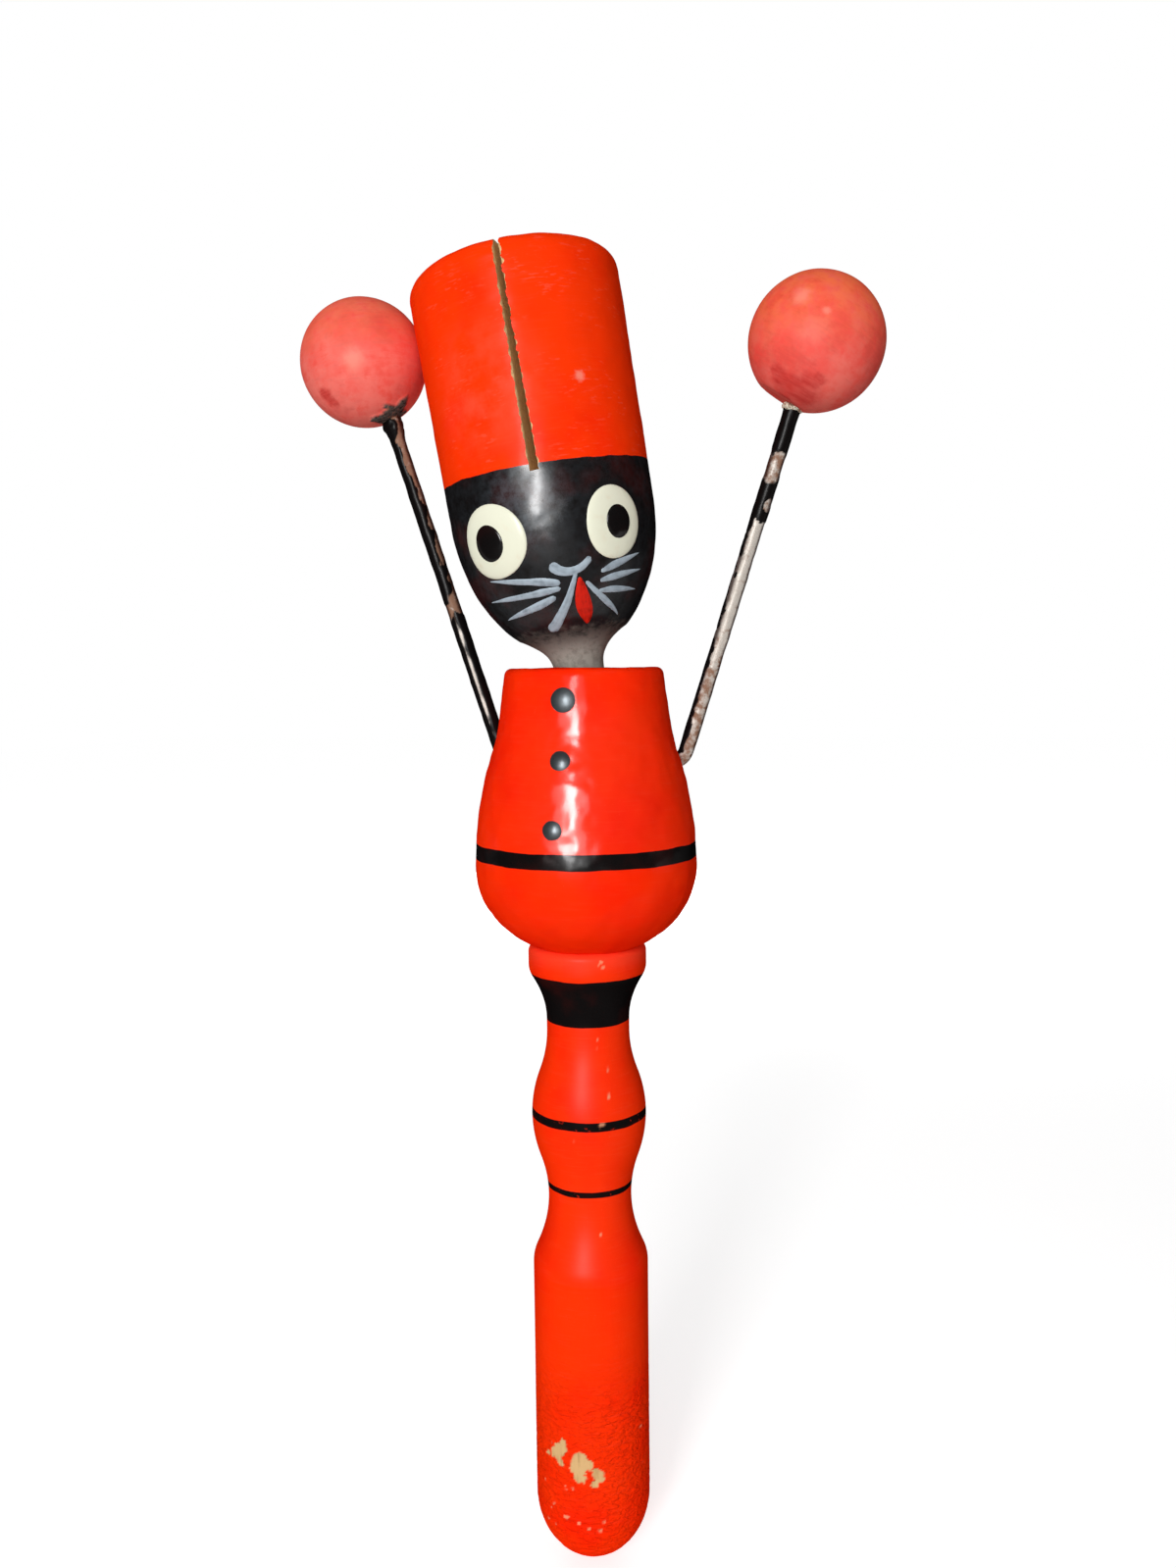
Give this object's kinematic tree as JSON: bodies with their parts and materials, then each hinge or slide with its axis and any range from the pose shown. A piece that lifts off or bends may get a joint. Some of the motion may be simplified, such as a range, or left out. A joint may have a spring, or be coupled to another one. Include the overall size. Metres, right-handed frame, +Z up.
{
  "type": "wooden clacker noisemaker",
  "caption": "Hand-held wooden clacker: a turned cat figure on a handle, whose pinned head with its tall slit hat rocks and knocks against balls on wire arms.",
  "frame": {"origin": "middle of the hand grip, on the handle's axis", "axes": "+Z up the handle towards the hat; -Y is the front, where the face and the buttons are; +X is to the right of someone who looks at the face"},
  "size_m": [0.1028, 0.0394, 0.2355],
  "materials": {
    "red_enamel": "glossy red-orange enamel with painted black bands over turned wood, worn through at the grip's end",
    "hat_and_face_enamel": "glossy red-orange enamel on the hat, gloss black on the face and neck, bare brown wood in the saw cut",
    "faded_ball_enamel": "streaked pink-red enamel, faded",
    "flaked_wire": "black enamel flaking off steel wire",
    "nail_heads": "black enamel, worn to dull steel on the domes"
  },
  "bodies": {
    "figure": {"handle": "red_enamel", "torso": "red_enamel", "pivot_nail": "nail_heads", "button_tack_middle": "nail_heads", "button_tack_lower": "nail_heads", "arm_wire": "flaked_wire", "ball_left": "faded_ball_enamel", "ball_right": "faded_ball_enamel"},
    "rocking_head": {"head": "hat_and_face_enamel"}
  },
  "joints": [
    {"name": "head_rock", "type": "hinge", "parent": "figure", "child": "rocking_head", "pos_m": [0, 0, 0.12485], "axis": [0, 1, 0], "range_deg": [0, 18.98]}
  ]
}
